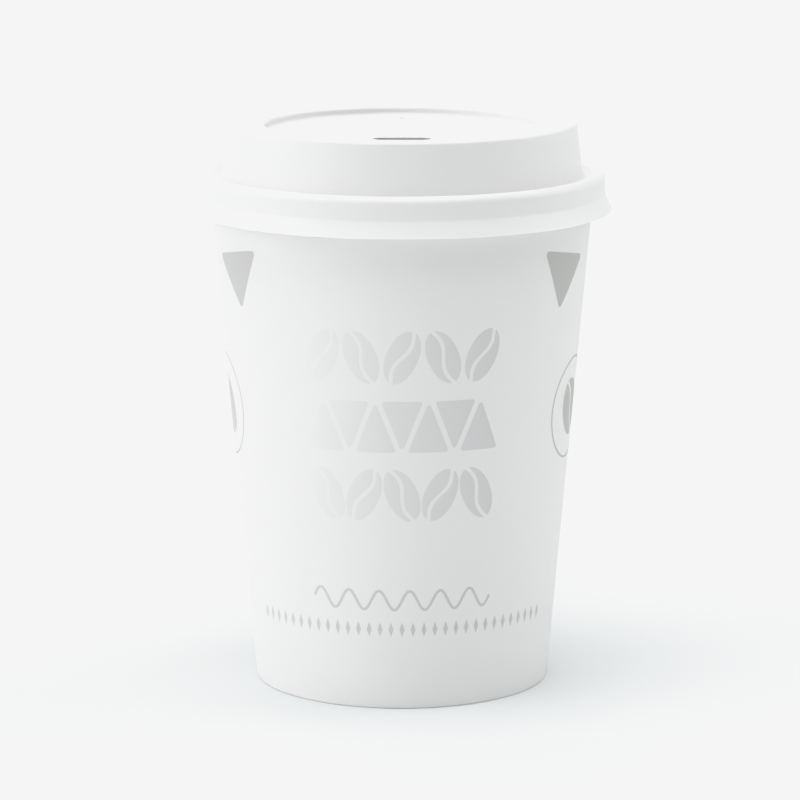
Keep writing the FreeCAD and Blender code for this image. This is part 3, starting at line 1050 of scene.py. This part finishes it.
@dataclass
class WallPrint:
    """Thin films of ink on the sidewall's outer face."""

    sizes: CupSizes
    pale: InkFinish
    grey: InkFinish
    fine: InkFinish
    lift: float = 0.03
    film: float = 0.05
    grid: float = 1.3
    triangle: tuple[Point, ...] = ((8.9, 4.5), (-1.2, -6.8), (-8.5, 7.4))
    triangle_azimuths: Point = (59.4, -61.0)
    triangle_height: float = 95.3
    triangle_corner: float = 0.8
    ring_radius: float = 11.8
    ring_line: float = 0.45
    ring_bean: tuple[float, float, float] = (14.4, 10.8, 30.0)
    ring_azimuths: Point = (-82.6, 76.0)
    ring_height: float = 64.3
    block_height: float = 65.0
    bean_size: Point = (12.6, 7.0)
    bean_tilt: float = 24.0
    bean_pitch: float = 8.8
    bean_rows: tuple[Point, ...] = ((81.0, 1.0), (49.7, -1.0))
    wedge: tuple[Point, ...] = ((-4.6, -5.8), (4.6, -5.8), (0.0, 5.8))
    wedge_corner: float = 0.5
    wedge_pitch: float = 5.9
    wedge_height: float = 65.3
    wave_reach: float = 20.5
    wave_rise: float = 2.2
    wave_line: float = 0.6
    waves: int = 6
    wave_height: float = 25.4
    lozenge: tuple[Point, ...] = ((0.55, 0.0), (0.0, 1.7), (-0.55, 0.0), (0.0, -1.7))
    lozenge_azimuths: tuple[float, float, int] = (-60.0, 60.0, 31)
    lozenge_height: float = 18.6

    def lay(self, name: str, motifs: Sequence[Motif], finish: InkFinish) -> Piece:
        """Lay motifs on the wall as one thin closed film.

        Args:
            name: Name of the piece.
            motifs: The motifs, each with the place of its centre.
            finish: The ink that they are printed in.

        Returns:
            The film.
        """
        lean = self.sizes.lean
        parts = []
        for motif in motifs:
            plan, faces = fill_plan(motif.loops, self.grid)
            reach, _ = self.sizes.wall(motif.height)
            turn = math.radians(motif.azimuth - 90) + plan[:, 0] / reach
            height = motif.height + plan[:, 1] * math.cos(lean)
            out = self.sizes.wall(0)[0] + height * math.tan(lean) + self.lift / math.cos(lean)
            points = np.stack([out * np.cos(turn), out * np.sin(turn), height], axis=-1)
            parts.append((points, faces))
        piece = new_mesh(name, *merge(parts))
        mesh = piece.data
        first = mesh.polygons[0]
        if first.normal.dot(Vector((*first.center.xy, 0))) < 0:
            mesh.flip_normals()
        thicken(piece, self.film, even=False)
        piece.data.materials.append(finish.material())
        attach(piece, Body.CUP.value)
        return piece

    def side_triangles(self) -> list[Motif]:
        """Draw a triangle on its point, high on each side.

        Returns:
            The triangles.
        """
        corners = np.array(self.triangle)
        sides = zip(self.triangle_azimuths, (corners[::-1], corners * (-1, 1)))
        return [
            Motif([rounded(flat, self.triangle_corner)], azimuth, self.triangle_height)
            for azimuth, flat in sides
        ]

    def side_rings(self) -> list[Motif]:
        """Draw a thin ring round a coffee bean on each side.

        Returns:
            The rings and the halves of the beans.
        """
        turn = full_turn(96)
        ring = [circle(turn, self.ring_radius), circle(turn, self.ring_radius - self.ring_line)]
        halves = [[half] for half in bean(*self.ring_bean)]
        return [
            Motif(loops, azimuth, self.ring_height)
            for azimuth in self.ring_azimuths
            for loops in (ring, *halves)
        ]

    def bean_block(self) -> list[Motif]:
        """Draw two rows of beans with a row of triangles between them.

        Returns:
            The halves of the beans and the triangles.
        """
        reach, _ = self.sizes.wall(self.block_height)
        motifs = []
        for height, lean in self.bean_rows:
            for index in range(-2, 3):
                tilt = self.bean_tilt * lean * (1 if index % 2 else -1)
                azimuth = math.degrees(index * self.bean_pitch / reach)
                motifs += [Motif([half], azimuth, height) for half in bean(*self.bean_size, tilt)]
        for index in range(-3, 4):
            way = 1 if index % 2 else -1
            corners = (np.array(self.wedge) * (1, way))[::way]
            azimuth = math.degrees(index * self.wedge_pitch / reach)
            motifs.append(Motif([rounded(corners, self.wedge_corner)], azimuth, self.wedge_height))
        return motifs

    def wave(self) -> list[Motif]:
        """Draw a thin wavy line.

        Returns:
            The line.
        """
        along = np.linspace(-self.wave_reach, self.wave_reach, 40 * self.waves)
        phase = along / self.wave_reach * self.waves * math.pi
        slope = self.wave_rise * np.cos(phase) * self.waves * math.pi / self.wave_reach
        normal = np.stack([-slope, np.ones_like(slope)], axis=-1)
        side = normal / np.linalg.norm(normal, axis=-1)[:, None] * self.wave_line / 2
        middle = np.stack([along, self.wave_rise * np.sin(phase)], axis=-1)
        loop = np.concatenate([middle - side, (middle + side)[::-1]])
        return [Motif([loop], 0.0, self.wave_height)]

    def lozenges(self) -> list[Motif]:
        """Draw a row of small upright lozenges round the front.

        Returns:
            The lozenges.
        """
        loop = divided(np.array(self.lozenge), 1.0)
        places = np.linspace(*self.lozenge_azimuths)
        return [Motif([loop], azimuth, self.lozenge_height) for azimuth in places]

    def build(self) -> list[Piece]:
        """Build every film of ink.

        Returns:
            The films.
        """
        return [
            self.lay("print_triangles", self.side_triangles(), self.grey),
            self.lay("print_side_rings", self.side_rings(), self.grey),
            self.lay("print_bean_block", self.bean_block(), self.pale),
            self.lay("print_wave", self.wave(), self.fine),
            self.lay("print_lozenges", self.lozenges(), self.fine),
        ]


@dataclass(frozen=True)
class SoftLight:
    """A broad soft light that is so far away that it is even over the whole floor."""

    name: str
    azimuth: float
    elevation: float
    strength: float
    spread: float = 50.0

    def hang(self) -> None:
        """Add the light, shining from its azimuth and elevation towards the cup."""
        lamp = bpy.data.lights.new(self.name, "SUN")
        lamp.energy = self.strength
        lamp.angle = math.radians(self.spread)
        light = bpy.data.objects.new(self.name, lamp)
        turn, rise = math.radians(self.azimuth - 90), math.radians(self.elevation)
        level = math.cos(rise)
        towards = Vector((level * math.cos(turn), level * math.sin(turn), math.sin(rise)))
        light.rotation_euler = towards.to_track_quat("Z", "Y").to_euler()
        bpy.context.scene.collection.objects.link(light)


@dataclass
class Studio:
    """The pale floor, the soft lights and the camera."""

    floor_size: float = 9.0
    floor_tint: Colour = (0.788, 0.815, 0.820)
    dome_strength: float = 0.04
    horizon_strength: float = 1.0
    horizon_rise: tuple[float, float] = (0.08, 0.16)
    lights: tuple[SoftLight, ...] = (
        SoftLight("key_light", azimuth=-65, elevation=20, strength=0.59),
        SoftLight("side_light", azimuth=-90, elevation=20, strength=0.80),
        SoftLight("rim_light", azimuth=-150, elevation=20, strength=0.36),
        SoftLight("fill_light", azimuth=105, elevation=38, strength=0.70),
        SoftLight("low_fill_light", azimuth=105, elevation=20, strength=0.22),
        SoftLight("top_light", azimuth=0, elevation=75, strength=1.65),
        SoftLight("top_side_light", azimuth=-90, elevation=75, strength=0.42),
        SoftLight("top_back_light", azimuth=180, elevation=75, strength=0.70),
        SoftLight("back_light", azimuth=180, elevation=15, strength=0.34),
    )
    lens: float = 177.6
    sensor: float = 36.0
    camera_place: tuple[float, float, float] = (-0.00045, -0.8856, 0.2375)
    camera_pitch: float = 11.10
    # The two ends of the tone curve come first, because a new curve has them already.
    roll_off: tuple[Point, ...] = (
        (0.0, 0.0), (1.5, 0.95), (0.7, 0.7), (0.8, 0.795), (0.9, 0.868), (1.0, 0.915), (1.15, 0.935)
    )

    def floor(self) -> None:
        """Lay the floor that the cup stands on."""
        half = self.floor_size / 2 / MM
        corners = np.array([(-half, -half, 0), (half, -half, 0), (half, half, 0), (-half, half, 0)])
        piece = new_mesh("studio_floor", corners, [(0, 1, 2, 3)])
        dress = Dress("pale_floor", specular=0.2)
        dress.grain(
            self.floor_tint, mottle=0.01, roughness=0.8, spread=0.05, grain=SHEET_GRAIN, relief=0.01
        )
        piece.data.materials.append(dress.material)

    def world(self) -> None:
        """Light the scene from all round, and more from a white backdrop near the horizon."""
        world = bpy.data.worlds.new("studio_world")
        world.use_nodes = True
        nodes, links = world.node_tree.nodes, world.node_tree.links
        place = nodes.new("ShaderNodeTexCoord")
        axes = nodes.new("ShaderNodeSeparateXYZ")
        fade = nodes.new("ShaderNodeMapRange")
        fade.interpolation_type = "SMOOTHSTEP"
        limits = (*self.horizon_rise, self.horizon_strength, self.dome_strength)
        for socket, value in zip(("From Min", "From Max", "To Min", "To Max"), limits):
            fade.inputs[socket].default_value = value
        sky = nodes["Background"]
        sky.inputs["Color"].default_value = (1.0, 1.0, 1.0, 1.0)
        links.new(place.outputs["Generated"], axes.inputs["Vector"])
        links.new(axes.outputs["Z"], fade.inputs["Value"])
        links.new(fade.outputs["Result"], sky.inputs["Strength"])
        bpy.context.scene.world = world

    def camera(self) -> None:
        """Set up the camera at the photograph's viewing angle."""
        camera = bpy.data.objects.new("camera", bpy.data.cameras.new("camera"))
        camera.data.sensor_width = self.sensor
        camera.data.lens = self.lens
        camera.location = self.camera_place
        camera.rotation_euler = (math.radians(90 - self.camera_pitch), 0, 0)
        bpy.context.scene.collection.objects.link(camera)
        bpy.context.scene.camera = camera

    def exposure(self) -> None:
        """Let the brightest tones roll off softly below white, as a camera does."""
        view = bpy.context.scene.view_settings
        view.view_transform = "Standard"
        view.use_curve_mapping = True
        mapping = view.curve_mapping
        mapping.clip_max_x = max(point[0] for point in self.roll_off)
        mapping.extend = "HORIZONTAL"
        tone = mapping.curves[COMBINED_CURVE]
        for end, place in zip(tone.points, self.roll_off):
            end.location = place
        for place in self.roll_off[len(tone.points):]:
            tone.points.new(*place)
        mapping.update()

    def build(self) -> None:
        """Set up the whole studio."""
        self.floor()
        self.world()
        for light in self.lights:
            light.hang()
        self.camera()
        self.exposure()


def main() -> None:
    """Build the cup, its print, its lid and the studio."""
    logging.basicConfig(level=logging.INFO, format="%(message)s")
    sizes = CupSizes.from_frame()
    board = PaperFinish(
        "coated_board", (0.883, 0.873, 0.871), roughness=0.5, mottle=0.02, relief=0.006
    )
    raw_edge = PaperFinish(
        "cut_board_edge", (0.78, 0.75, 0.70), roughness=0.85, mottle=0.12, relief=0.03
    )
    plastic = PlasticFinish(
        "satin_plastic", (0.853, 0.853, 0.851), roughness=0.42, mottle=0.01, relief=0.004
    )
    # Each ink's left and right tints paint light: paler on the left, where the light falls brighter.
    pale = InkFinish(
        "pale_ink", (0.868, 0.868, 0.866), (0.690, 0.690, 0.690), reach=20.0, roughness=0.45
    )
    grey = InkFinish(
        "grey_ink", (0.59, 0.588, 0.578), (0.520, 0.522, 0.500), reach=38.0, roughness=0.5
    )
    fine = InkFinish(
        "fine_ink", (0.675, 0.673, 0.665), (0.605, 0.605, 0.595), reach=38.0, roughness=0.5
    )
    builders = [
        Sidewall(sizes, board, raw_edge),
        BottomDisc(sizes, board),
        WallPrint(sizes, pale, grey, fine),
        SipLid(sizes, plastic),
    ]
    for builder in builders:
        for piece in builder.build():
            LOG.info("built %s with %d faces", piece.name, len(piece.data.polygons))
    Studio().build()


if __name__ == "__main__":
    main()
